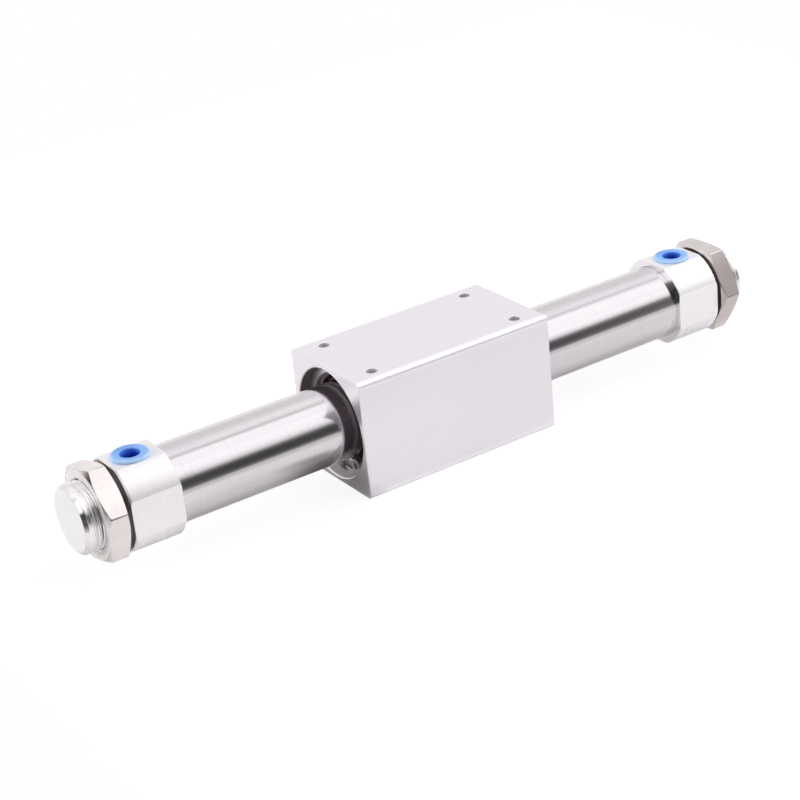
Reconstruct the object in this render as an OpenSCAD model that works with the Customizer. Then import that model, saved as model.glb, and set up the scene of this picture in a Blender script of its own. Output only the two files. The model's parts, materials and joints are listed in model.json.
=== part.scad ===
// Rodless air cylinder with a magnetically coupled slider, basic round-tube type.
// X runs along the tube and Z is up, towards the ports. The origin is on the tube's
// axis, halfway along the stroke, and the slider stands there. All sizes in mm.

/* [Stroke and tube] */
// Full travel of the slider
stroke = 100; // [60:5:300]
// Bore of the tube
bore_d = 20; // [19:0.5:22]
// Wall of the tube
tube_wall = 1.4; // [1:0.1:1.6]
// Gap between the slider and a head cover at the end of the stroke
end_gap = 4.6; // [3:0.1:12]

/* [Slider block] */
// Thinnest wall between the magnet bore and a side of the square block
slider_wall = 2.5; // [2:0.1:8]
// Radius of the four long edges
slider_edge_r = 1.5; // [0.5:0.5:3]
// Chamfer round the two end faces
slider_end_chamfer = 0.3; // [0.1:0.1:1]
// Step up from the magnet bore to the wider mouth at each end
mouth_step = 1; // [0.8:0.1:1.2]
// Depth from an end face to its retaining ring
ring_inset = 3.65; // [2.5:0.05:8]

/* [Tapped holes] */
// Tapping drill of the M4 mounting holes
hole_d = 3.3; // [2.5:0.1:4.2]
// Depth of the mounting holes
hole_depth = 6; // [4:0.5:6.5]
// Hole spacing along the tube
hole_pitch_x = 50; // [30:1:50]
// Hole spacing across the tube
hole_pitch_y = 25; // [22:1:26]
// Countersink at each hole's mouth
hole_sink = 0.15; // [0.1:0.05:0.6]

/* [Retaining rings] */
// Thickness of the spring steel
ring_t = 1.2; // [1:0.1:1.5]
// How deep a ring sits in its groove
ring_lap = 0.6; // [0.4:0.1:0.8]
// Radial width opposite the gap
ring_wide = 3; // [2.4:0.1:3.2]
// Radial width beside the gap
ring_narrow = 2; // [1.6:0.1:2.4]
// Opening between the two lugs
ring_gap = 6; // [4:0.5:9]
// Diameter of the lugs
lug_d = 4.2; // [3.6:0.1:4.6]
// Plier hole in each lug
lug_hole_d = 1.8; // [1.2:0.1:2.2]

/* [Attachment rings] */
// Thickness of the flange behind the retaining ring
flange_t = 1.2; // [0.8:0.1:1.2]
// Gap round the tube at the open end, in front of the scraper
attach_mouth_gap = 1.5; // [1.2:0.1:2]
// Depth of that open end
attach_mouth_l = 2; // [1.5:0.1:4]
// Gap between the inner lands and the tube
land_gap = 0.4; // [0.3:0.05:0.6]
// Width of the walls between the grooves
land_w = 0.7; // [0.5:0.05:2]
// Width of the scraper's seat
scraper_w = 2.4; // [2:0.1:4]
// Width of the lubricant retainer
felt_w = 2.2; // [1.6:0.1:4]
// Width of the wear ring
wear_w = 4.8; // [3:0.1:10]
// Thickness of the wear ring
wear_t = 1.2; // [1:0.1:1.4]

/* [Magnet coupling] */
// Number of ring magnets, both inside and outside the tube
magnet_count = 4; // [2:1:4]
// Length of one magnet
magnet_t = 4; // [2:0.1:4.2]
// Length of one steel yoke
yoke_t = 2.5; // [1.5:0.1:2.6]
// Radial thickness of the outer stack
outer_stack_t = 3.45; // [3.2:0.05:5]
// Gap between the outer stack and the tube
outer_gap = 0.6; // [0.4:0.05:0.8]
// Gap between the inner stack and the tube
inner_gap = 0.5; // [0.3:0.05:0.7]
// How far the magnets stand back from the yokes
magnet_setback = 0.15; // [0.05:0.05:0.3]

/* [Piston] */
// Diameter of the piston's shaft
shaft_d = 6; // [5:0.5:7]
// Gap between the piston ends and the tube
piston_gap = 0.3; // [0.3:0.05:0.5]
// Width across flats of the piston nut
piston_nut_flats = 10; // [9:0.5:10.5]
// Thickness of the piston nut
piston_nut_t = 3; // [2.4:0.2:3.2]
// Width of the piston's wear ring
piston_wear_w = 3.6; // [2.5:0.1:4]
// Width of the piston seal
piston_seal_w = 2.4; // [2:0.1:2.6]

/* [Head covers] */
// Length of the flatted part
cover_l = 15.4; // [13:0.1:24]
// Wall left between the tube's end and the port
port_wall = 0.2; // [0.2:0.1:2]
// Thinnest wall over the tube, at the four flats
cover_wall = 1.1; // [0.5:0.1:2]
// How far the round corners stand out beyond the flats
cover_round = 1.2; // [1:0.1:3]
// Chamfer where the round corners meet the outer face
cover_chamfer = 0.5; // [0.2:0.1:0.8]
// Length of tube inside the cover
tube_seat_l = 3.4; // [2:0.1:4]
// Thread length of the mounting nose, from the cover's outer face
nose_l = 12.7; // [11:0.1:20]
// Outside diameter of the nose thread, M20 x 1.5
nose_d = 20; // [18:0.5:21]
// Chamfer at the end of the nose
nose_chamfer = 1; // [0.3:0.1:1.2]
// Diameter of the shoulder that the nut seats on
shoulder_d = 22; // [21.6:0.2:23.6]
// Height of that shoulder
shoulder_l = 1.2; // [0.6:0.1:1.6]

/* [Ports] */
// Tapping drill of the 1/8 inch port
port_d = 8.6; // [7:0.1:8.8]
// Countersink of the port
port_sink = 0.4; // [0.2:0.1:0.5]
// Air passage behind the port
passage_d = 14; // [10:0.5:15]

/* [Mounting nuts] */
// Width across flats
nut_flats = 26; // [24.5:0.5:30]
// Thickness
nut_t = 6.5; // [5:0.5:8]
// Angle of the turned chamfers on the nuts
chamfer_angle = 22; // [15:1:35]
// Turn of the left nut about the tube
nut_turn_left = 16; // [0:1:59]
// Turn of the right nut about the tube
nut_turn_right = 30; // [0:1:59]

/* [End collars and bumpers] */
// Reach of a collar's spigot into the tube, from the cover's inner face
spigot_l = 7.8; // [7:0.1:10]
// Length of the threaded shank in the air passage
shank_l = 3.5; // [2:0.5:4.5]
// Air hole through the collar
air_hole_d = 5; // [3:0.5:6]
// Cross-section of the tube gasket
gasket_t = 1.4; // [1.1:0.1:1.6]
// Thickness of a bumper
bumper_t = 1.8; // [1.2:0.1:2.4]
// Diameter of a bumper
bumper_d = 18; // [16:0.5:18.4]
// Clearance left between the piston and a bumper at the end of the stroke
bumper_gap = 0.3; // [0.2:0.1:0.6]

/* [Port plugs] */
// Diameter of the plug's flange
plug_flange_d = 11; // [10:0.1:13]
// Thickness of the flange
plug_flange_t = 0.8; // [0.7:0.1:1.6]
// Length of the stem in the port
plug_stem_l = 4.2; // [3:0.1:4.6]
// Diameter of the finger recess in the plug
plug_recess_d = 5.6; // [4:0.1:6.4]
// Wall and floor of the plug
plug_wall = 0.9; // [0.7:0.1:1]

/* [Clearances] */
// Radial clearance of parts that slide or turn on each other
run_gap = 0.05; // [0.02:0.01:0.08]
// Clearance of parts that are fitted and stay put
seat_gap = 0.05; // [0.02:0.01:0.1]
// Sideways clearance of a ring in its groove
groove_gap = 0.1; // [0.05:0.05:0.2]

/* [Hidden] */
$fn = 96;

// The stack of magnets and yokes, alternating and ending in a yoke at both ends
stack_l = magnet_count * magnet_t + (magnet_count + 1) * yoke_t;
stack_half = stack_l / 2;

bore_r = bore_d / 2;
tube_r = bore_r + tube_wall;

// Stations in the positive end of the slider, from the magnets outwards
wear_x0 = stack_half + land_w;
wear_x1 = wear_x0 + wear_w + 2 * groove_gap;
felt_x0 = wear_x1 + land_w;
felt_x1 = felt_x0 + felt_w + 2 * groove_gap;
scraper_x0 = felt_x1 + land_w;
scraper_x1 = scraper_x0 + scraper_w;
ring_in_x = scraper_x1 + attach_mouth_l;
shoulder_x = ring_in_x - flange_t;
ring_out_x = ring_in_x + ring_t;
slider_half = ring_out_x + ring_inset;

// Radii in the slider, from the tube outwards
land_r = tube_r + land_gap;
wear_groove_r = tube_r + wear_t + 2 * run_gap;
felt_groove_r = tube_r + 2;
scraper_groove_r = tube_r + 2.4;
attach_mouth_r = tube_r + attach_mouth_gap;
magnet_bore_r = tube_r + outer_gap + outer_stack_t + seat_gap;
mouth_r = magnet_bore_r + mouth_step;
groove_r = mouth_r + ring_lap + 0.1;
slider_w = 2 * (magnet_bore_r + slider_wall);

// Stations along the positive half of the tube
cover_x = stroke / 2 + slider_half + end_gap;
face_x = cover_x + cover_l;
seat_x = face_x + shoulder_l;
nose_end_x = face_x + nose_l;
tube_end_x = cover_x + tube_seat_l;
port_x = tube_end_x + port_wall + port_d / 2;
passage_end_x = port_x + port_d / 2 + 0.2;
spigot_x = cover_x - spigot_l;
bumper_x = spigot_x - bumper_t;
piston_half = bumper_x - stroke / 2 - bumper_gap;

// Half the distance across the head covers' flats, and the radius of their round corners
half_flats = tube_r + cover_wall;
cover_r = half_flats + cover_round;

// ---- Shapes that repeat ----

// A solid cylinder along X, from x0 to x1
module bar_x(x0, x1, r) {
    translate([x0, 0, 0]) rotate([0, 90, 0]) cylinder(h = x1 - x0, r = r);
}

// A ring along X
module ring_x(x0, x1, outer_r, inner_r) {
    difference() {
        bar_x(x0, x1, outer_r);
        bar_x(x0 - 1, x1 + 1, inner_r);
    }
}

// A profile of [radius, x] points turned about X
module turned_x(profile) {
    rotate([0, 90, 0]) rotate_extrude() polygon(profile);
}

// Draws a piece of the positive end, mirrored for the negative end
module at_end(side) {
    if (side < 0) mirror([1, 0, 0]) children();
    else children();
}

// A hexagonal nut along X with turned chamfers on the chosen ends
module hex_nut_x(x0, x1, flats, bore, chamfer_ends = 2, bore_chamfer = 0.3) {
    corner_r = flats / sqrt(3);
    face_r = flats / 2 - 0.3;
    drop = (corner_r - face_r) * tan(chamfer_angle);
    inner_drop = chamfer_ends > 1 ? drop : 0;
    inner_r = chamfer_ends > 1 ? face_r : corner_r;
    difference() {
        intersection() {
            translate([x0, 0, 0]) rotate([0, 90, 0]) cylinder(h = x1 - x0, r = corner_r, $fn = 6);
            turned_x([[0, x0], [inner_r, x0], [corner_r, x0 + inner_drop],
                      [corner_r, x1 - drop], [face_r, x1], [0, x1]]);
        }
        bar_x(x0 - 1, x1 + 1, bore / 2);
        for (end = [[x0, 1], [x1, -1]])
            turned_x([[0, end[0] - end[1]], [bore / 2 + bore_chamfer + 1, end[0] - end[1]],
                      [bore / 2, end[0] + end[1] * bore_chamfer], [0, end[0] + end[1] * bore_chamfer]]);
    }
}

// Start of magnet i or yoke i in a stack, counted from the negative end
function yoke_x(i) = -stack_half + (i - 1) * (yoke_t + magnet_t);
function magnet_x(i) = yoke_x(i) + yoke_t;

// ---- Tube assembly ----

module cylinder_tube() {
    color("gainsboro") ring_x(-tube_end_x, tube_end_x, tube_r, bore_r);
}

// Turned bar with four milled flats, a threaded nose and a port on top
module head_cover(side) {
    edge = cover_chamfer / 2;
    color("ghostwhite") at_end(side) difference() {
        union() {
            intersection() {
                turned_x([[0, cover_x], [cover_r - edge, cover_x], [cover_r, cover_x + edge],
                          [cover_r, face_x - cover_chamfer], [cover_r - cover_chamfer, face_x],
                          [0, face_x]]);
                translate([cover_x - 1, -half_flats, -half_flats])
                    cube([cover_l + 2, 2 * half_flats, 2 * half_flats]);
            }
            bar_x(face_x - 1, seat_x, shoulder_d / 2);
            turned_x([[0, face_x - 1], [nose_d / 2, face_x - 1], [nose_d / 2, nose_end_x - nose_chamfer],
                      [nose_d / 2 - nose_chamfer, nose_end_x], [0, nose_end_x]]);
        }
        bar_x(cover_x - 1, tube_end_x, tube_r + seat_gap);
        bar_x(tube_end_x - 1, passage_end_x, passage_d / 2);
        translate([port_x, 0, 0]) {
            cylinder(h = half_flats + 1, d = port_d);
            translate([0, 0, half_flats - port_sink])
                cylinder(h = port_sink + 0.1, d1 = port_d, d2 = port_d + 2 * port_sink + 0.2);
        }
    }
}

// Spigot inside the tube, with a gasket groove, and a shank screwed into the cover
module end_collar(side) {
    spigot_r = bore_r - seat_gap;
    groove_x = (spigot_x + cover_x) / 2;
    groove_w = gasket_t + 2 * groove_gap;
    color("lightsteelblue") at_end(side) difference() {
        union() {
            bar_x(spigot_x, tube_end_x, spigot_r);
            bar_x(tube_end_x - 1, tube_end_x + shank_l, passage_d / 2 - seat_gap);
        }
        ring_x(groove_x - groove_w / 2, groove_x + groove_w / 2, spigot_r + 1, bore_r - gasket_t);
        bar_x(spigot_x - 1, tube_end_x + shank_l + 1, air_hole_d / 2);
    }
}

module tube_gasket(side) {
    gasket_x = (spigot_x + cover_x) / 2;
    color("dimgray") at_end(side) rotate([0, 90, 0]) rotate_extrude()
        translate([bore_r - gasket_t / 2, gasket_x]) circle(d = gasket_t, $fn = 32);
}

// Ring with a neck that clips into the collar's air hole
module bumper(side) {
    hole_r = air_hole_d / 2 - 1;
    color("orange") at_end(side) turned_x([
        [hole_r, bumper_x], [bumper_d / 2 - 0.4, bumper_x], [bumper_d / 2, bumper_x + 0.4],
        [bumper_d / 2, spigot_x], [air_hole_d / 2 - seat_gap, spigot_x],
        [air_hole_d / 2 - seat_gap, spigot_x + 2], [hole_r, spigot_x + 2]]);
}

module mounting_nut(side) {
    turn = side < 0 ? nut_turn_left : nut_turn_right;
    color("rosybrown") at_end(side) rotate([turn, 0, 0])
        hex_nut_x(seat_x, seat_x + nut_t, nut_flats, nose_d + 2 * seat_gap, bore_chamfer = 0.5);
}

// Push-in plug with a flange, a hollow stem and three sealing ribs
module port_plug(side) {
    stem_r = port_d / 2 - 0.25;
    rib_r = port_d / 2 - run_gap;
    top = plug_flange_t;
    color("dodgerblue") at_end(side) translate([port_x, 0, half_flats + 0.02]) rotate_extrude()
        polygon(concat(
            [[0, plug_wall - plug_stem_l], [plug_recess_d / 2 - 0.5, plug_wall - plug_stem_l],
             [plug_recess_d / 2, top - 0.3], [plug_recess_d / 2 + 0.3, top],
             [plug_flange_d / 2 - 0.3, top], [plug_flange_d / 2, top - 0.3],
             [plug_flange_d / 2, 0], [stem_r, 0]],
            [for (i = [0 : 2], p = [[stem_r, -0.9], [rib_r, -1.1], [stem_r, -1.5]])
                [p[0], p[1] - i * (plug_stem_l - 1.8) / 3]],
            [[stem_r, 0.5 - plug_stem_l], [stem_r - 0.5, -plug_stem_l], [0, -plug_stem_l]]));
}

// ---- Slider ----

// Outline of the extruded bar, with rounded corners made of true arcs
module slider_outline() {
    inner = slider_w - 2 * slider_edge_r;
    square([slider_w, inner], center = true);
    square([inner, slider_w], center = true);
    for (y = [-1, 1], z = [-1, 1])
        translate([y * inner / 2, z * inner / 2]) circle(r = slider_edge_r);
}

// The block seen from above or from the side, with its end chamfers
module slider_side_outline() {
    c = slider_end_chamfer;
    half_w = slider_w / 2;
    polygon([for (sx = [-1, 1], p = [[0, -1], [1, -1], [1, 1], [0, 1]])
        let (turn = sx > 0 ? p : [p[0], -p[1]])
        [sx * (slider_half - (turn[0] > 0 ? 0 : c)),
         turn[1] * (half_w - (turn[0] > 0 ? c : 0))]]);
}

module slider_body() {
    chamfer = 0.4;
    color("whitesmoke") difference() {
        intersection() {
            rotate([90, 0, 90]) translate([0, 0, -slider_half])
                linear_extrude(2 * slider_half) slider_outline();
            translate([0, 0, -slider_w]) linear_extrude(2 * slider_w) slider_side_outline();
            rotate([90, 0, 0]) translate([0, 0, -slider_w])
                linear_extrude(2 * slider_w) slider_side_outline();
        }
        bar_x(-slider_half - 1, slider_half + 1, magnet_bore_r);
        for (side = [-1, 1]) at_end(side) turned_x([
            [0, shoulder_x], [mouth_r, shoulder_x], [mouth_r, ring_in_x], [groove_r, ring_in_x],
            [groove_r, ring_out_x + groove_gap], [mouth_r, ring_out_x + groove_gap],
            [mouth_r, slider_half - chamfer], [mouth_r + chamfer + 0.1, slider_half + 0.1],
            [0, slider_half + 0.1]]);
        for (x = [-1, 1], y = [-1, 1])
            translate([x * hole_pitch_x / 2, y * hole_pitch_y / 2, slider_w / 2 - hole_depth]) {
                cylinder(h = hole_depth + 1, d = hole_d);
                translate([0, 0, hole_depth - hole_sink])
                    cylinder(h = hole_sink + 0.1, d1 = hole_d, d2 = hole_d + 2 * hole_sink + 0.2);
            }
    }
}

// Internal retaining ring: eccentric, with two drilled lugs beside a gap at the bottom
module hole_ring(side) {
    outer_r = groove_r - 0.1;
    inner_r = outer_r - (ring_wide + ring_narrow) / 2;
    shift = (ring_wide - ring_narrow) / 2;
    lug_r = outer_r - ring_narrow - lug_d / 2 + 1.2;
    lug_angle = asin((ring_gap + lug_d) / 2 / lug_r);
    color("slategray") at_end(side) translate([ring_in_x, 0, 0]) rotate([90, 0, 90])
        linear_extrude(ring_t) difference() {
            union() {
                difference() {
                    circle(r = outer_r);
                    translate([0, -shift]) circle(r = inner_r);
                    translate([-ring_gap / 2, -2 * outer_r]) square([ring_gap, 2 * outer_r]);
                }
                for (turn = [-lug_angle, lug_angle])
                    rotate(turn) translate([0, -lug_r]) circle(d = lug_d, $fn = 48);
            }
            for (turn = [-lug_angle, lug_angle])
                rotate(turn) translate([0, -lug_r]) circle(d = lug_hole_d, $fn = 32);
        }
}

// Flanged sleeve that closes the magnet bore and carries the scraper, felt and wear ring
module attachment_ring(side) {
    color("darkgray") at_end(side) difference() {
        union() {
            bar_x(stack_half, ring_in_x, magnet_bore_r - seat_gap);
            bar_x(shoulder_x, ring_in_x, mouth_r - seat_gap);
        }
        bar_x(stack_half - 1, ring_in_x + 1, land_r);
        bar_x(wear_x0, wear_x1, wear_groove_r);
        bar_x(felt_x0, felt_x1, felt_groove_r);
        bar_x(scraper_x0, scraper_x1, scraper_groove_r);
        bar_x(scraper_x1 - 1, ring_in_x + 1, attach_mouth_r);
        turned_x([[0, ring_in_x - 0.4], [attach_mouth_r, ring_in_x - 0.4],
                  [attach_mouth_r + 0.5, ring_in_x + 0.1], [0, ring_in_x + 0.1]]);
    }
}

// Wiper with a lip that leans outwards over the tube
module scraper(side) {
    back_r = scraper_groove_r - seat_gap;
    lip_r = tube_r + run_gap;
    neck_r = tube_r + 0.8 * attach_mouth_gap;
    lip_x = scraper_x1 + attach_mouth_l / 2;
    color("darkslategray") at_end(side) turned_x([
        [tube_r + 0.7, scraper_x0], [back_r, scraper_x0], [back_r, scraper_x1 - seat_gap],
        [neck_r, scraper_x1 - seat_gap], [lip_r + 0.25, lip_x],
        [lip_r, lip_x - 0.2], [lip_r, lip_x - 0.4], [tube_r + 0.7, scraper_x0 + scraper_w / 2]]);
}

module lube_retainer(side) {
    color("khaki") at_end(side)
        ring_x(felt_x0 + groove_gap, felt_x1 - groove_gap, felt_groove_r - seat_gap, tube_r + run_gap);
}

module slider_wear_ring(side) {
    color("saddlebrown") at_end(side)
        ring_x(wear_x0 + groove_gap, wear_x1 - groove_gap, tube_r + run_gap + wear_t, tube_r + run_gap);
}

module slider_magnet(i) {
    color("dimgray") ring_x(magnet_x(i), magnet_x(i) + magnet_t,
        magnet_bore_r - seat_gap, tube_r + outer_gap + magnet_setback);
}

module slider_yoke(i) {
    color("steelblue") ring_x(yoke_x(i), yoke_x(i) + yoke_t,
        magnet_bore_r - seat_gap, tube_r + outer_gap);
}

// ---- Piston ----

// Stations in the positive end of the piston
piston_wear_x = stack_half + 2;
piston_seal_x = piston_wear_x + piston_wear_w + 2;
piston_nut_x = piston_half - piston_nut_t - 0.4;
shaft_r = shaft_d / 2;
piston_r = bore_r - piston_gap;

module piston_shaft() {
    end_x = piston_nut_x + piston_nut_t;
    color("silver") turned_x([
        [0, -end_x], [shaft_r - 0.5, -end_x], [shaft_r, 0.5 - end_x],
        [shaft_r, end_x - 0.5], [shaft_r - 0.5, end_x], [0, end_x]]);
}

module piston(side) {
    nut_pocket_r = piston_nut_flats / sqrt(3) + 0.4;
    color("lightgray") at_end(side) difference() {
        turned_x([[0, stack_half], [piston_r, stack_half], [piston_r, piston_half - 0.6],
                  [piston_r - 0.6, piston_half], [0, piston_half]]);
        bar_x(stack_half - 1, piston_half + 1, shaft_r + seat_gap);
        bar_x(piston_nut_x, piston_half + 1, nut_pocket_r);
        ring_x(piston_wear_x, piston_wear_x + piston_wear_w + 2 * groove_gap, bore_r, bore_r - 1.3);
        ring_x(piston_seal_x, piston_seal_x + piston_seal_w + 2 * groove_gap, bore_r, bore_r - 2.1);
    }
}

module piston_nut(side) {
    color("slategray") at_end(side)
        hex_nut_x(piston_nut_x, piston_nut_x + piston_nut_t, piston_nut_flats, shaft_d + 2 * seat_gap, 1);
}

// U-shaped packing: the two lips open towards the pressure
module piston_seal(side) {
    x0 = piston_seal_x + groove_gap;
    x1 = x0 + piston_seal_w;
    outer_r = bore_r - run_gap;
    root_r = bore_r - 2.1 + seat_gap;
    mid_r = (outer_r + root_r) / 2;
    color("darkslategray") at_end(side) turned_x([
        [root_r, x0], [outer_r - 0.3, x0], [outer_r, x1 - 0.6], [outer_r - 0.2, x1],
        [mid_r, x0 + 1.1], [root_r + 0.2, x1], [root_r, x1 - 0.6]]);
}

module piston_wear_ring(side) {
    color("saddlebrown") at_end(side) ring_x(piston_wear_x + groove_gap,
        piston_wear_x + groove_gap + piston_wear_w, bore_r - run_gap, bore_r - 1.3 + seat_gap);
}

module piston_magnet(i) {
    color("dimgray") ring_x(magnet_x(i), magnet_x(i) + magnet_t,
        bore_r - inner_gap - magnet_setback, shaft_r + seat_gap);
}

module piston_yoke(i) {
    color("steelblue") ring_x(yoke_x(i), yoke_x(i) + yoke_t, bore_r - inner_gap, shaft_r + seat_gap);
}

// ---- Nodes ----

cylinder_tube();
head_cover(-1);  // head_cover_left
head_cover(1);  // head_cover_right
end_collar(-1);  // end_collar_left
end_collar(1);  // end_collar_right
tube_gasket(-1);  // tube_gasket_left
tube_gasket(1);  // tube_gasket_right
bumper(-1);  // bumper_left
bumper(1);  // bumper_right
mounting_nut(-1);  // mounting_nut_left
mounting_nut(1);  // mounting_nut_right
port_plug(-1);  // port_plug_left
port_plug(1);  // port_plug_right
slider_body();
hole_ring(-1);  // hole_ring_left
hole_ring(1);  // hole_ring_right
attachment_ring(-1);  // attachment_ring_left
attachment_ring(1);  // attachment_ring_right
scraper(-1);  // scraper_left
scraper(1);  // scraper_right
lube_retainer(-1);  // lube_retainer_left
lube_retainer(1);  // lube_retainer_right
slider_wear_ring(-1);  // slider_wear_ring_left
slider_wear_ring(1);  // slider_wear_ring_right
piston_shaft();
piston(-1);  // piston_left
piston(1);  // piston_right
piston_nut(-1);  // piston_nut_left
piston_nut(1);  // piston_nut_right
piston_seal(-1);  // piston_seal_left
piston_seal(1);  // piston_seal_right
piston_wear_ring(-1);  // piston_wear_ring_left
piston_wear_ring(1);  // piston_wear_ring_right
for (i = [1 : magnet_count]) {
    slider_magnet(i);
    piston_magnet(i);
}
for (i = [1 : magnet_count + 1]) {
    slider_yoke(i);
    piston_yoke(i);
}
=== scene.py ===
import json
import math

import bmesh
import bpy
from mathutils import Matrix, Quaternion, Vector


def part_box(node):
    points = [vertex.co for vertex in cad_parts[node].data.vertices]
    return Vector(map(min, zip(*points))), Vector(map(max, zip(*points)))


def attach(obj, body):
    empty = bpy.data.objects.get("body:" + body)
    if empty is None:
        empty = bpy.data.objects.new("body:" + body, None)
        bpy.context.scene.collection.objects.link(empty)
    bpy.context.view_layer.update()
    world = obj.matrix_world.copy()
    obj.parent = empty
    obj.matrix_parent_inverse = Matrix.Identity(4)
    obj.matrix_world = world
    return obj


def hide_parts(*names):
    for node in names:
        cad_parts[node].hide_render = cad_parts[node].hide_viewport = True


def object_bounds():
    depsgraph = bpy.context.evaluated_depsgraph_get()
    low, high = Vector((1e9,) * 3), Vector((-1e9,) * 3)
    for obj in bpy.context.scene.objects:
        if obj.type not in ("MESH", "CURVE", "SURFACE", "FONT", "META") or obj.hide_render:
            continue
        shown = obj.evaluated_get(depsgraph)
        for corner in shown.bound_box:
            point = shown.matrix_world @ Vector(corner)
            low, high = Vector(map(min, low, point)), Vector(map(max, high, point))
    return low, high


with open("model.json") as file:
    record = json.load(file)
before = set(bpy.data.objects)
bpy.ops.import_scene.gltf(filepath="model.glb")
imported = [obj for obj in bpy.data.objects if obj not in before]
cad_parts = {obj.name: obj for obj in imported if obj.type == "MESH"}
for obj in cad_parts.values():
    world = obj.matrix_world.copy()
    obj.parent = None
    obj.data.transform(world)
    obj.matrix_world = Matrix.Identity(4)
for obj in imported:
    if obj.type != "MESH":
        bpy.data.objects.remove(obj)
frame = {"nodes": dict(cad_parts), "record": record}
cadBox = [list(corner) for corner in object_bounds()]
scene = bpy.context.scene
mm = 0.001
sides = {"left": -1, "right": 1}
white = (1.0, 1.0, 1.0)
black = (0.0, 0.0, 0.0)
print("frame loaded:", len(frame["nodes"]), "nodes")


class Term:  # a socket that takes part in sums
    def __init__(self, finish, socket):
        self.finish = finish
        self.socket = socket

    def maths(self, operation, first, second):
        return self.finish.add("ShaderNodeMath", {"operation": operation}, {0: first, 1: second})

    def __add__(self, other):
        return self.maths("ADD", self, other)

    def __radd__(self, other):
        return self.maths("ADD", other, self)

    def __sub__(self, other):
        return self.maths("SUBTRACT", self, other)

    def __rsub__(self, other):
        return self.maths("SUBTRACT", other, self)

    def __mul__(self, other):
        return self.maths("MULTIPLY", self, other)

    def __rmul__(self, other):
        return self.maths("MULTIPLY", other, self)

    def __truediv__(self, other):
        return self.maths("DIVIDE", self, other)

    def __pow__(self, other):
        return self.maths("POWER", self, other)


class Finish:  # a node tree with one way to add a node
    def __init__(self, owner):
        self.owner = owner
        owner.use_nodes = True
        self.nodes = owner.node_tree.nodes
        self.links = owner.node_tree.links

    def feed(self, socket, value):
        if isinstance(value, Term):
            self.links.new(value.socket, socket)
        elif isinstance(value, tuple) and socket.type == "RGBA" and len(value) == 3:
            socket.default_value = (*value, 1)
        else:
            socket.default_value = value

    def add(self, kind, settings=None, inputs=None, output=0):
        node = self.nodes.new(kind)
        for name, value in (settings or {}).items():
            if name == "stops":
                ramp = node.color_ramp
                while len(ramp.elements) < len(value):
                    ramp.elements.new(0.5)
                for element, (place, colour) in zip(ramp.elements, value):
                    element.position = place
                    element.color = (*colour, 1)
            elif name == "blend":
                node.color_ramp.interpolation = value
            else:
                setattr(node, name, value)
        for label, value in (inputs or {}).items():
            self.feed(node.inputs[label], value)
        if isinstance(output, tuple):
            return [Term(self, node.outputs[name]) for name in output]
        return Term(self, node.outputs[output])

    def place(self):
        return self.add("ShaderNodeTexCoord", output="Object")

    def axes(self, vector):
        return self.add("ShaderNodeSeparateXYZ", None, {0: vector}, ("X", "Y", "Z"))

    def size(self, value):  # without its sign
        return self.add("ShaderNodeMath", {"operation": "ABSOLUTE"}, {0: value})

    def fromAxis(self, first, second):
        return (first * first + second * second) ** 0.5

    def noise(self, scale, detail=3.0, roughness=0.5):  # scale along x, y and z, or one for all three
        if not isinstance(scale, tuple):
            scale = (scale, scale, scale)
        stretched = self.add("ShaderNodeMapping", None, {"Vector": self.place(), "Scale": scale})
        inputs = {"Vector": stretched, "Scale": 1.0, "Detail": detail, "Roughness": roughness}
        return self.add("ShaderNodeTexNoise", None, inputs)

    def band(self, value, low, high, start=0.0, end=1.0):  # soft step from low to high
        inputs = {"Value": value, "From Min": low, "From Max": high, "To Min": start, "To Max": end}
        return self.add("ShaderNodeMapRange", {"interpolation_type": "SMOOTHSTEP"}, inputs)

    def window(self, value, rise, fall):  # soft patch that begins over rise and ends over fall
        return self.band(value, *rise) * self.band(value, *fall)

    def mix(self, factor, first, second):  # the colour sockets of a Mix node are 6, 7 and output 2
        return self.add("ShaderNodeMix", {"data_type": "RGBA"}, {0: factor, 6: first, 7: second}, 2)

    def mottled(self, pattern, spread, first, second):  # noise lies about 0.5, mostly within spread
        return self.mix(self.band(pattern, 0.5 - spread, 0.5 + spread), first, second)

    def blend(self, factor, first, second):
        return (1 - factor) * first + factor * second

    def bump(self, height, strength, distance):
        inputs = {"Height": height, "Strength": strength, "Distance": distance}
        return self.add("ShaderNodeBump", None, inputs, "Normal")

    def dress(self, values):
        shader = self.nodes["Principled BSDF"]
        for label, value in values.items():
            self.feed(shader.inputs[label], value)
        return self.owner


def newFinish(name):
    return Finish(bpy.data.materials.new(name))


def dimmed(colour, share):
    return tuple(share * value for value in colour)


# places that finishes and meshes share
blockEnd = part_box("slider_body")[1].x
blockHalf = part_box("slider_body")[1].z
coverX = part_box("head_cover_right")[0].x
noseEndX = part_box("head_cover_right")[1].x
nutX = abs(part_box("mounting_nut_left")[1].x)  # where the nut seats, and the thread begins
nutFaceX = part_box("mounting_nut_right")[1].x
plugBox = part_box("port_plug_right")

tubeSteel = {
    "colour": (0.80, 0.775, 0.79),
    "drawnColour": (0.74, 0.72, 0.735),
    "drawn": (9, 900, 900),  # long lines from drawing
    "honed": (2600, 60, 60),  # fine turns from polishing
    "smudges": (45, 70, 70),
    "roughness": 0.13,
    "streak": 0.05,
    "smudge": 0.05,
}


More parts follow.
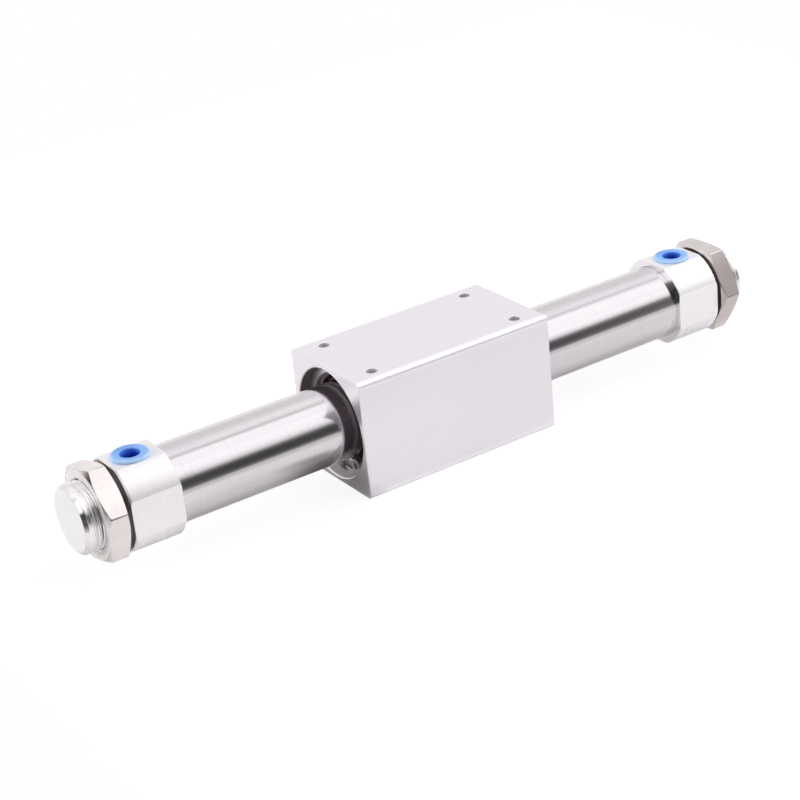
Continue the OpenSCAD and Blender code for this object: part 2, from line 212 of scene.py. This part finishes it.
def polishedSteel():
    f = newFinish("polished stainless tube")
    look = tubeSteel
    drawn = f.noise(look["drawn"], 4.0, 0.6)
    honed = f.noise(look["honed"], 3.0, 0.6)
    smudges = f.noise(look["smudges"], 2.0)
    colour = f.mottled(drawn * 0.6 + honed * 0.4, 0.15, look["colour"], look["drawnColour"])
    rough = look["roughness"] + look["streak"] * (drawn + honed - 1) + look["smudge"] * (smudges - 0.5)
    normal = f.bump(drawn * 0.5 + honed * 0.5, 0.25, 0.02 * mm)
    return f.dress({"Base Color": colour, "Roughness": rough, "Metallic": 1.0, "Normal": normal})


sliderAnodise = {
    "colour": (0.90, 0.874, 0.912),
    "clouded": (0.88, 0.856, 0.892),
    "edge": (0.99, 0.97, 1.0),  # painted highlight on the rounded long edges
    "edgeFade": (2.4 * mm, 1.2 * mm),  # short of the corner, along y and z together
    "bored": (0.155, 0.12, 0.14),  # the mouth's wall, in shade
    "boredBelow": (0.88, 0.83, 0.85),  # its lowest part, which the light reaches
    "belowFade": (-10 * mm, -14 * mm),
    "mouth": 16.6 * mm,  # radius inside which the block is bored
    "dieLines": (14, 1500, 1500),  # along the bar
    "clouds": (28, 40, 40),
    "grain": 5200,
    "roughness": 0.33,
    "streak": 0.06,
    "grit": 0.04,
    "boredRoughness": 0.25,  # added to the rest
    "metal": 0.65,
    "sawn": 0.2 * mm,  # depth of the sawn end
    "endRoughness": 0.26,
    "endMetal": 0.75,
}


def anodisedExtrusion():
    f = newFinish("matt silver anodised slider")
    look = sliderAnodise
    lines = f.noise(look["dieLines"], 3.0, 0.6)
    grain = f.noise(look["grain"], 2.0)
    cloud = f.noise(look["clouds"], 2.0)
    x, y, z = f.axes(f.place())
    edge = f.band(f.size(y) + f.size(z), *(2 * blockHalf - short for short in look["edgeFade"]))
    bored = f.band(f.fromAxis(y, z), look["mouth"] + 0.02 * mm, look["mouth"] - 0.02 * mm)
    wall = f.mix(f.band(z, *look["belowFade"]), look["bored"], look["boredBelow"])
    sawn = f.band(f.size(x), blockEnd - 1.5 * look["sawn"], blockEnd - 0.5 * look["sawn"])
    colour = f.mottled(lines * 0.5 + cloud * 0.5, 0.12, look["colour"], look["clouded"])
    # painted highlight along the rounded long edges, short of the corners
    colour = f.mix(edge, colour, look["edge"])
    colour = f.mix(bored, colour, wall)
    rough = f.blend(sawn, look["roughness"], look["endRoughness"]) + look["boredRoughness"] * bored
    rough = rough + look["streak"] * (lines - 0.5) + look["grit"] * (grain - 0.5)
    metal = f.blend(sawn, look["metal"], look["endMetal"]) * (1 - bored)
    normal = f.bump(grain * 0.6 + lines * 0.4, 0.2, 0.02 * mm)
    return f.dress({"Base Color": colour, "Roughness": rough, "Metallic": metal, "Normal": normal})


coverAnodise = {
    "colour": (0.93, 0.918, 0.93),
    "worn": (0.915, 0.902, 0.913),
    "gap": (0.26, 0.235, 0.23),  # the shoulder and the face behind the nut, which little light reaches
    "gapFade": (1.3 * mm, 1.15 * mm),  # short of the nut
    "turned": (1200, 60, 60),
    "clouds": 60,
    "roughness": 0.28,
    "streak": 0.03,
    "metal": 0.5,
    "innerFade": (0.12 * mm, 0.06 * mm),  # from the face towards the tube
    "innerRoughness": 0.08,
    "innerMetal": 0.95,
}
noseMachined = {
    "colour": (0.93, 0.918, 0.925),
    "roughness": 0.10,
    "metal": 0.95,
    "faced": 9 * mm,  # radius of the flat end
    "endRoughness": 0.35,
    "endMetal": 0.5,
}


def anodisedCover():
    f = newFinish("bright anodised cover")
    look = coverAnodise
    turned = f.noise(look["turned"], 2.0, 0.5)
    cloud = f.noise(look["clouds"], 2.0)
    x, y, z = f.axes(f.place())
    along = f.size(x)
    gap = f.band(along, *(nutX - short for short in look["gapFade"]))
    cut = f.band(along, nutX, nutX + 0.1 * mm)  # the thread is cut after anodising
    polished = f.band(along, *(coverX + depth for depth in look["innerFade"]))
    faced = f.band(f.fromAxis(y, z), noseMachined["faced"], noseMachined["faced"] - 0.2 * mm)
    faced = faced * f.band(along, noseEndX - 0.03 * mm, noseEndX - 0.01 * mm)
    colour = f.mottled(turned * 0.4 + cloud * 0.6, 0.14, look["colour"], look["worn"])
    # painted shade on the shoulder and the face behind the nut
    colour = f.mix(gap, colour, look["gap"])
    colour = f.mix(cut, colour, noseMachined["colour"])
    rough = f.blend(cut, look["roughness"], noseMachined["roughness"])
    rough = f.blend(polished, rough, look["innerRoughness"])
    rough = f.blend(faced, rough, noseMachined["endRoughness"]) + look["streak"] * (turned - 0.5)
    metal = f.blend(cut, look["metal"], noseMachined["metal"])
    metal = f.blend(polished, metal, look["innerMetal"])
    metal = f.blend(faced, metal, noseMachined["endMetal"])
    normal = f.bump(turned, 0.05, 0.01 * mm)
    return f.dress({"Base Color": colour, "Roughness": rough, "Metallic": metal, "Normal": normal})


nutPlate = {
    "colour": (0.85, 0.81, 0.785),
    "worn": (0.79, 0.745, 0.72),
    "frontShade": (0.60, 0.545, 0.52),  # painted shade on the front of the right nut
    "frontShadeFade": (-5 * mm, -11 * mm),
    "gap": (0.34, 0.31, 0.30),  # painted shade on the face towards the cover
    "gapFade": (0.12 * mm, 0.04 * mm),
    "face": (0.93, 0.895, 0.88),  # the outer face
    "faceFade": (0.1 * mm, 0.04 * mm),
    "milled": (300, 2200, 2200),  # lines left on the flats
    "clouds": 170,
    "roughness": 0.14,
    "streak": 0.08,
    "smudge": 0.06,
    "faceRoughness": 0.42,
    "faceMetal": 0.55,
}


def nickelledSteel():
    f = newFinish("nickel plated nut")
    look = nutPlate
    milled = f.noise(look["milled"], 3.0, 0.6)
    cloud = f.noise(look["clouds"], 3.0)
    x, y = f.axes(f.place())[:2]
    along = f.size(x)
    # painted shade over the front of the right nut
    frontShade = f.band(x, 0, nutX) * f.band(y, *look["frontShadeFade"])
    gap = f.band(along, *(nutX + depth for depth in look["gapFade"]))
    face = f.band(along, *(nutFaceX - depth for depth in look["faceFade"]))
    colour = f.mottled(milled * 0.4 + cloud * 0.6, 0.14, look["colour"], look["worn"])
    colour = f.mix(frontShade, colour, look["frontShade"])
    # painted shade on the nut's face towards the cover
    colour = f.mix(gap, colour, look["gap"])
    colour = f.mix(face, colour, look["face"])
    rough = f.blend(face, look["roughness"], look["faceRoughness"])
    rough = rough + look["streak"] * (milled - 0.5) + look["smudge"] * (cloud - 0.5)
    metal = f.blend(face, 1.0, look["faceMetal"])
    normal = f.bump(milled * 0.5 + cloud * 0.5, 0.25, 0.03 * mm)
    return f.dress({"Base Color": colour, "Roughness": rough, "Metallic": metal, "Normal": normal})


springPhosphate = {
    "colour": (0.78, 0.77, 0.76),
    "dark": (0.68, 0.67, 0.66),
    "grain": 1800,
    "roughness": 0.3,
    "grit": 0.2,
    "metal": 0.9,
}


def phosphatedSpring():
    f = newFinish("phosphated spring steel")
    look = springPhosphate
    grain = f.noise(look["grain"], 4.0, 0.7)
    colour = f.mottled(grain, 0.2, look["colour"], look["dark"])
    rough = look["roughness"] + look["grit"] * (grain - 0.5)
    normal = f.bump(grain, 0.3, 0.03 * mm)
    return f.dress({"Base Color": colour, "Roughness": rough, "Metallic": look["metal"], "Normal": normal})


attachmentChromateAndShade = {
    # the ring's brownish tone darkened with painted shade inside the mouth
    "colour": (0.21, 0.16, 0.185),
    "below": (0.62, 0.57, 0.59),  # the lowest part, which the light reaches
    "belowFade": (-9 * mm, -13 * mm),
    "roughness": 0.14,
}


def turnedAluminium(name, colour, roughness, below=None, belowFade=()):
    f = newFinish(name)
    turned = f.noise((2800, 70, 70), 3.0, 0.6)
    tint = f.mottled(turned, 0.18, colour, dimmed(colour, 0.82))
    if below:
        z = f.axes(f.place())[2]
        # when given, painted light on the lowest part
        tint = f.mix(f.band(z, *belowFade), tint, below)
    rough = roughness + 0.14 * (turned - 0.5)
    normal = f.bump(turned, 0.35, 0.03 * mm)
    return f.dress({"Base Color": tint, "Roughness": rough, "Metallic": 0.9, "Normal": normal})


def chromatedShadedRing():
    look = attachmentChromateAndShade
    return turnedAluminium("chromated attachment ring in painted shade", look["colour"], look["roughness"],
                           look["below"], look["belowFade"])


def groundSteel(name, colour, roughness):
    f = newFinish(name)
    lines = f.noise((700, 1900, 1900), 3.0, 0.6)
    tint = f.mottled(lines, 0.2, colour, dimmed(colour, 0.85))
    rough = roughness + 0.12 * (lines - 0.5)
    normal = f.bump(lines, 0.25, 0.02 * mm)
    return f.dress({"Base Color": tint, "Roughness": rough, "Metallic": 1.0, "Normal": normal})


def moulded(name, colour, roughness, grainScale, extra=None):
    f = newFinish(name)
    grain = f.noise(grainScale, 3.0)
    tint = f.mottled(grain, 0.2, colour, dimmed(colour, 0.8))
    rough = roughness + 0.15 * (grain - 0.5)
    values = {"Base Color": tint, "Roughness": rough, "Normal": f.bump(grain, 0.3, 0.04 * mm)}
    values.update(extra or {})
    return f.dress(values)


plugBlue = {
    "middleX": (plugBox[0].x + plugBox[1].x) / 2,
    "rim": (plugBox[1].x - plugBox[0].x) / 2,
    "recess": 2.8 * mm,  # radius
    "recessFade": (-0.3 * mm, 0.5 * mm),  # about that radius
    "recessDepth": 3 * mm,
    # the plug's blue, darkened towards the recess floor as painted shade
    "deep": (0.002, 0.05, 0.46),
    "middle": (0.012, 0.11, 0.66),
    "flange": (0.20, 0.44, 0.90),
    # painted shade on the back half of the flange
    "back": (0.13, 0.29, 0.80),
    "backFade": (1.5 * mm, 4.5 * mm),
    # painted light at the thin rim
    "edge": (0.42, 0.64, 0.97),
    "edgeFade": (1.2 * mm, 0.1 * mm),  # inside the rim
    "milky": (0.9, 0.95, 1.0),
    "milkiness": 0.12,
    "clouds": 700,
    "roughness": 0.34,
    "smudge": 0.12,
    "specular": 0.35,
    "passed": 0.15,  # share of the light that goes into the plastic
    "passedDepth": (0.6 * mm, 1 * mm, 2.5 * mm),  # of red, green and blue
}


def translucentPlug():  # painted light and shade: palest at the rim, where thin plastic passes light, and darkest in the recess
    f = newFinish("translucent blue plug")
    look = plugBlue
    x, y, z = f.axes(f.place())
    radius = f.fromAxis(f.size(x) - look["middleX"], y)
    flange = f.band(radius, *(look["recess"] + past for past in look["recessFade"]))
    edge = f.band(radius, *(look["rim"] - inside for inside in look["edgeFade"]))
    height = f.band(z, plugBox[1].z - look["recessDepth"], plugBox[1].z)
    cloud = f.noise(look["clouds"], 2.0)
    # painted shade in the recess, darkest at its floor
    inside = f.mix(height, look["deep"], look["middle"])
    # painted shade on the back of the flange, and painted light at its rim
    outside = f.mix(f.band(y, *look["backFade"]), look["flange"], look["back"])
    outside = f.mix(edge, outside, look["edge"])
    colour = f.mix(flange, inside, outside)
    colour = f.mix(look["milkiness"] * cloud * flange, colour, look["milky"])
    rough = look["roughness"] + look["smudge"] * (cloud - 0.5)
    return f.dress({"Base Color": colour, "Roughness": rough, "Specular IOR Level": look["specular"],
                    "Subsurface Weight": look["passed"], "Subsurface Radius": look["passedDepth"],
                    "Normal": f.bump(cloud, 0.15, 0.04 * mm)})


finishes = {
    "tube_steel": polishedSteel(),
    "cover_aluminium": anodisedCover(),
    "slider_aluminium": anodisedExtrusion(),
    "attachment_aluminium": chromatedShadedRing(),
    "collar_aluminium": turnedAluminium("turned aluminium", (0.74, 0.75, 0.77), 0.28),
    "nut_steel": nickelledSteel(),
    "plug_blue": translucentPlug(),
    "spring_steel": phosphatedSpring(),
    "yoke_steel": groundSteel("zinc plated yoke", (0.52, 0.53, 0.56), 0.3),
    "shaft_steel": groundSteel("ground stainless shaft", (0.74, 0.74, 0.75), 0.2),
    "magnet": groundSteel("plated magnet", (0.30, 0.30, 0.32), 0.35),
    "nitrile": moulded("dark nitrile", (0.075, 0.056, 0.066), 0.5, 1400, {"Specular IOR Level": 0.3}),
    "urethane": moulded("amber urethane", (0.62, 0.33, 0.07), 0.35, 700),
    "oiled_felt": moulded("greased felt", (0.42, 0.35, 0.22), 0.8, 2600),
    "wear_resin": moulded("bearing resin", (0.20, 0.12, 0.06), 0.45, 1600),
}
slotOf = {part["node"]: part["material_slot"] for part in frame["record"]["subparts"]}
for node, obj in frame["nodes"].items():
    obj.data.materials.clear()
    obj.data.materials.append(finishes[slotOf[node]])
print("finishes made:", len(finishes))

seam = 0.002 * mm  # corners nearer than this are one
hair = 0.001 * mm  # slack of a cut or a weld
flat = math.radians(0.4)  # faces that turn less than this are one


def mergedCopy(node):  # a CAD node's mesh with its seams closed and its flat faces whole
    bm = bmesh.new()
    bm.from_mesh(frame["nodes"][node].data)
    bmesh.ops.remove_doubles(bm, verts=bm.verts, dist=seam)
    bmesh.ops.dissolve_limit(bm, angle_limit=flat, verts=bm.verts, edges=bm.edges)
    return bm


def closeHoles(bm):
    bmesh.ops.holes_fill(bm, edges=[e for e in bm.edges if e.is_boundary], sides=0)


def softenEdges(bm, width, sharpest=22, segments=2, chosen=lambda edge: True):
    edges = [e for e in bm.edges
             if len(e.link_faces) == 2 and e.calc_face_angle() > math.radians(sharpest) and chosen(e)]
    bmesh.ops.bevel(bm, geom=edges, offset=width, offset_type="OFFSET", segments=segments, profile=0.5,
                    affect="EDGES", clamp_overlap=True, material=-1)


def makePiece(name, bm, body, slot, replaced=(), crease=32):
    mesh = bpy.data.meshes.new(name)
    bm.to_mesh(mesh)
    bm.free()
    for layer in ("custom_normal", "sharp_face", "sharp_edge"):
        if layer in mesh.attributes:
            mesh.attributes.remove(mesh.attributes[layer])
    mesh.polygons.foreach_set("use_smooth", [True] * len(mesh.polygons))
    mesh.set_sharp_from_angle(angle=math.radians(crease))
    mesh.materials.append(finishes[slot])
    piece = bpy.data.objects.new(name, mesh)
    scene.collection.objects.link(piece)
    piece.modifiers.new("even flats", "WEIGHTED_NORMAL").keep_sharp = True
    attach(piece, body)
    if replaced:
        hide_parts(*replaced)


nose = {
    "start": nutX + 0.02 * mm,  # where the cover is cut off and the threaded nose takes over
    "radius": 10 * mm,
    "pitch": 1.5 * mm,
    "depth": 0.92 * mm,
    "chamfer": 1.0 * mm,
    "land": 1.9 * mm,  # plain part at the end
    "runOut": 0.6 * mm,
    "lead": 0.09,  # share of a turn that clocks the thread
    "sharpness": 1.4,  # above 1 the crest is wider than the root
    "sample": 0.09 * mm,
    "around": 144,
}


def threadedNose(side):
    length = noseEndX - nose["start"]
    count = round(length / nose["sample"])
    bm = bmesh.new()
    line = [bm.verts.new((nose["start"] + length * i / count, 0, nose["radius"])) for i in range(count + 1)]
    for first, second in zip(line, line[1:]):
        bm.edges.new((first, second))
    bmesh.ops.spin(bm, geom=bm.verts[:] + bm.edges[:], cent=(0, 0, 0), axis=(1, 0, 0), angle=math.tau,
                   steps=nose["around"], use_merge=True)
    bmesh.ops.remove_doubles(bm, verts=bm.verts, dist=hair)
    for vert in bm.verts:
        turn = math.atan2(vert.co.z, vert.co.y) / math.tau
        fromEnd = noseEndX - vert.co.x
        phase = (side * vert.co.x / nose["pitch"] - turn + nose["lead"]) % 1.0
        flank = (0.5 - 0.5 * math.cos(math.tau * phase)) ** nose["sharpness"]
        fade = min(1.0, max(0.0, (fromEnd - nose["land"]) / nose["runOut"]))
        radius = nose["radius"] - nose["depth"] * flank * fade
        radius = min(radius, nose["radius"] - nose["chamfer"] + fromEnd)
        around = Vector((0, vert.co.y, vert.co.z)).normalized() * radius
        vert.co = Vector((side * vert.co.x, around.y, around.z))
    closeHoles(bm)
    bmesh.ops.recalc_face_normals(bm, faces=bm.faces)
    return bm


coverRound = 0.14 * mm
nutRounds = {"corner": 0.4 * mm, "edge": 0.1 * mm}
shortestCorner = 2 * mm


def makeCover(end, side):
    node = "head_cover_" + end
    bm = mergedCopy(node)
    bmesh.ops.bisect_plane(bm, geom=bm.verts[:] + bm.edges[:] + bm.faces[:], dist=hair,
                           plane_co=(side * nose["start"], 0, 0), plane_no=(side, 0, 0), clear_outer=True)
    closeHoles(bm)
    softenEdges(bm, coverRound)
    makePiece("cover_" + end, bm, "tube_assembly", "cover_aluminium", [node])
    makePiece("nose_" + end, threadedNose(side), "tube_assembly", "cover_aluminium", [node], crease=50)


def nutCorner(edge):  # between two flats, so parallel to the tube
    direction = (edge.verts[1].co - edge.verts[0].co).normalized()
    return abs(direction.x) > 0.999 and edge.calc_length() > shortestCorner


def makeNut(end):
    node = "mounting_nut_" + end
    bm = mergedCopy(node)
    softenEdges(bm, nutRounds["corner"], sharpest=40, segments=4, chosen=nutCorner)
    softenEdges(bm, nutRounds["edge"], sharpest=14)
    makePiece("nut_" + end, bm, "tube_assembly", "nut_steel", [node])


for end, side in sides.items():
    makeCover(end, side)
    makeNut(end)
print("covers, noses and nuts made")

blockRound = 0.08 * mm
plugRound = 0.1 * mm
mouthRings = {
    "hole_ring": {"slot": "spring_steel", "round": 0.12 * mm},
    "attachment_ring": {"slot": "attachment_aluminium", "round": 0.08 * mm},
}


def makeBlock():
    bm = mergedCopy("slider_body")
    softenEdges(bm, blockRound, sharpest=24)
    makePiece("slider_block", bm, "slider", "slider_aluminium", ["slider_body"])


def makeMouthRing(ring, end):
    node = ring + "_" + end
    bm = mergedCopy(node)
    softenEdges(bm, mouthRings[ring]["round"])
    makePiece(ring + "_finished_" + end, bm, "slider", mouthRings[ring]["slot"], [node])


def makePlug(end):
    node = "port_plug_" + end
    bm = mergedCopy(node)
    softenEdges(bm, plugRound)
    makePiece("plug_" + end, bm, node, "plug_blue", [node])  # the plug is a body of its own


makeBlock()
for end in sides:
    for ring in mouthRings:
        makeMouthRing(ring, end)
    makePlug(end)
print("slider, rings and plugs made")

# level of the room's walls, as polished metal sees them, by angle from overhead towards the front: a
# soft box overhead, a dark gap above the horizon in front, and a pale wall behind
behind = [(-90, 1.0), (-79, 0.93), (-68, 0.79), (-55, 0.80), (-40, 0.87), (-22, 1.06), (-14, 0.97)]
inFront = {
    "near": [(-8, 0.66), (-4, 0.86), (2, 1.24), (45, 1.25), (52, 1.08), (58, 0.74), (65, 0.17), (72, 0.055),
             (86, 0.06), (96, 0.30), (110, 0.55)],
    "middle": [(-8, 0.74), (-4, 0.94), (2, 1.24), (45, 1.25), (52, 1.18), (58, 0.95), (65, 0.24), (72, 0.085),
               (86, 0.11), (96, 0.36), (110, 0.55)],
    "far": [(-8, 0.68), (-4, 0.98), (2, 1.24), (45, 1.25), (52, 1.14), (58, 0.96), (65, 0.50), (72, 0.32),
            (86, 0.32), (96, 0.34), (110, 0.40), (141, 0.36)],
}
room = {
    "underneath": (0.60, 0.50),  # where the levels begin and end
    "green": 0.975,  # against red and blue
    "farBack": 6,  # degrees by which the far walls stand further back
    "toMiddle": (0.50, 0.56),  # where along x the near walls give way to the middle ones
    "toFar": (0.585, 0.635),
    "leftBack": 18,  # degrees by which the left walls stand further back than the near ones
    "toLeft": (0.334, 0.316),
    "ambient": (0.36, 0.35, 0.36),
    "shade": (0.08, 0.078, 0.08),  # on what faces the left end
    "shadeX": (-0.1, -0.5),
    "shadeZ": (0.75, 0.45),
}
unlit = {
    "depth": 0.93,
    "frontX": ((-0.85, -0.72), (-0.25, -0.40)),  # the room's side in front on the left
    "frontY": (-0.15, -0.30),
    "frontZ": (0.85, 0.72),
    "lowX": (-0.55, -0.75),  # low on the left
    "lowTop": (0.14, 0.02),
    "lowBottom": (-0.45, -0.15),
    "rise": 0.15,  # its top is higher towards the front
    "riseY": (0.0, -0.2),
}


def wallRamp(f, turn, part):
    turned = room["farBack"] if part == "far" else 0
    levels = [(angle - turned, level) for angle, level in behind + inFront[part]]
    levels = [(-180, room["underneath"][0]), *levels, (180, room["underneath"][1])]
    stops = [((angle + 180) / 360, (level, level * room["green"], level)) for angle, level in levels]
    return f.add("ShaderNodeValToRGB", {"stops": stops, "blend": "LINEAR"}, {0: turn})


def unlitFront(f, x, y, z):
    return f.window(x, *unlit["frontX"]) * f.band(y, *unlit["frontY"]) * f.band(z, *unlit["frontZ"])


def unlitLow(f, x, y, z):
    top = f.band(z - unlit["rise"] * f.band(y, *unlit["riseY"]), *unlit["lowTop"])
    return f.band(x, *unlit["lowX"]) * top * f.band(z, *unlit["lowBottom"])


def reflectedStudio():
    f = Finish(bpy.data.worlds.new("studio"))
    x, y, z = f.axes(f.add("ShaderNodeTexCoord", output="Generated"))
    lean = f.add("ShaderNodeMath", {"operation": "ARCTAN2"}, {0: y * -1, 1: z})
    back = f.band(x, *room["toLeft"], 0.0, room["leftBack"])
    turn = (lean * math.degrees(1) + 180 + back) / 360
    near, middle, far = [wallRamp(f, turn, part) for part in inFront]
    walls = f.mix(f.band(x, *room["toMiddle"]), near, middle)
    walls = f.mix(f.band(x, *room["toFar"]), walls, far)
    walls = f.mix(unlit["depth"] * unlitFront(f, x, y, z), walls, black)
    walls = f.mix(unlit["depth"] * unlitLow(f, x, y, z), walls, black)
    camera, diffuse = f.add("ShaderNodeLightPath", output=("Is Camera Ray", "Is Diffuse Ray"))
    shaded = f.band(x, *room["shadeX"]) * f.band(z, *room["shadeZ"])
    colour = f.mix(diffuse, walls, f.mix(shaded, room["ambient"], room["shade"]))
    colour = f.mix(camera, colour, white)
    f.feed(f.nodes["Background"].inputs["Color"], colour)
    return f.owner


table = {
    "corners": ((-0.15, -0.30), (0.34, 0.36)),  # near left and far right
    "z": cadBox[0][2] - 0.02 * mm,
    "colour": (0.90, 0.885, 0.895),
    "clouded": (0.89, 0.875, 0.885),
    "clouds": 30,
    "roughness": 0.9,
    "white": 0.8,  # share of plain white that the camera sees
    "glow": 1.1,
}
# what polished metal sees of the table: shares of light, painted light and painted shadow, and where in
# metres each lies
reflected = {
    "lit": 0.05,
    "litBeside": 0.13,  # painted light in front of the tube's left half
    "besideY": ((-0.060, -0.035), (-0.010, -0.018)),
    "shadowUnder": 0.16,  # painted shadow under that half
    "underY": ((-0.009, -0.003), (0.009, 0.002)),
    "leftHalf": ((-0.11, -0.09), (0.02, -0.02)),
    "shadowCorner": 0.62,  # painted shadow by the slider's left end
    "cornerX": ((-0.054, -0.036), (-0.024, -0.034)),
    "cornerY": ((-0.034, -0.020), (0.036, 0.008)),
    "shadeAhead": 0.3,  # painted shade far in front
    "aheadY": (-0.06, -0.13),
}


def paleTable():
    f = newFinish("pale table")
    cloud = f.noise(table["clouds"], 2.0)
    camera, glossy = f.add("ShaderNodeLightPath", output=("Is Camera Ray", "Is Glossy Ray"))
    colour = f.mix(cloud, table["colour"], table["clouded"])
    f.dress({"Base Color": colour, "Roughness": table["roughness"], "Specular IOR Level": 0.0})
    x, y = f.axes(f.place())[:2]
    leftHalf = f.window(x, *reflected["leftHalf"])
    beside = f.window(y, *reflected["besideY"]) * leftHalf
    under = f.window(y, *reflected["underY"]) * leftHalf
    corner = f.window(x, *reflected["cornerX"]) * f.window(y, *reflected["cornerY"])
    ahead = f.band(y, *reflected["aheadY"])
    # painted light and painted shadow, seen only in reflections
    lit = reflected["lit"] + reflected["litBeside"] * beside
    paintedShadow = reflected["shadowUnder"] * under + reflected["shadowCorner"] * corner
    paintedShadow = paintedShadow + reflected["shadeAhead"] * ahead
    glowColour = camera + glossy * lit / (lit + paintedShadow)
    glow = f.add("ShaderNodeEmission", None, {"Color": glowColour, "Strength": table["glow"]})
    surface = Term(f, f.nodes["Principled BSDF"].outputs[0])
    share = camera * table["white"] + glossy * (lit + paintedShadow)
    shown = f.add("ShaderNodeMixShader", None, {0: share, 1: surface, 2: glow})
    f.feed(f.nodes["Material Output"].inputs["Surface"], shown)
    return f.owner


def layTable():
    near, far = (Vector((*corner, 0)) for corner in table["corners"])
    bm = bmesh.new()
    bmesh.ops.create_grid(bm, x_segments=1, y_segments=1, size=0.5)
    bmesh.ops.scale(bm, vec=(far.x - near.x, far.y - near.y, 1), verts=bm.verts)
    bmesh.ops.translate(bm, vec=(near + far) / 2 + Vector((0, 0, table["z"])), verts=bm.verts)
    mesh = bpy.data.meshes.new("table")
    bm.to_mesh(mesh)
    bm.free()
    mesh.materials.append(paleTable())
    floor = bpy.data.objects.new("table", mesh)
    scene.collection.objects.link(floor)


lamps = {  # places and sizes in metres, power in watts
    "overhead": {"at": (0.55, -0.1, 0.8), "size": 0.7, "power": 4.7},
    "front": {"at": (0.6, -0.9, 0.4), "size": 0.7, "power": 5.6},
    "left": {"at": (-1.1, 0.5, 0.3), "size": 0.5, "power": 12},
}


def hangLamp(name, lamp):
    light = bpy.data.lights.new(name, "AREA")
    light.shape = "SQUARE"
    light.size = lamp["size"]
    light.energy = lamp["power"]
    holder = bpy.data.objects.new(name, light)
    holder.location = lamp["at"]
    holder.rotation_euler = (-Vector(lamp["at"])).to_track_quat("-Z", "Y").to_euler()
    holder.visible_glossy = False
    holder.visible_camera = False
    scene.collection.objects.link(holder)


scene.world = reflectedStudio()
layTable()
for name, lamp in lamps.items():
    hangLamp(name, lamp)
print("studio lit")

view = {
    "at": (-0.2961, -0.4646, 0.2567),
    "aim": (-0.00711, 0.00298, -0.00256),
    "roll": -5.896,  # degrees
    "lens": 93.36,  # millimetres, as the sensor
    "sensor": 36,
    "nearest": 0.01,
}


def setCamera():
    camera = bpy.data.objects.new("camera", bpy.data.cameras.new("camera"))
    camera.data.lens = view["lens"]
    camera.data.sensor_width = view["sensor"]
    camera.data.clip_start = view["nearest"]
    camera.location = view["at"]
    look = (Vector(view["aim"]) - Vector(view["at"])).to_track_quat("-Z", "Y")
    camera.rotation_euler = (look @ Quaternion((0, 0, 1), math.radians(view["roll"]))).to_euler()
    scene.collection.objects.link(camera)
    scene.camera = camera


setCamera()
scene.view_settings.view_transform = "Standard"
print("camera set")
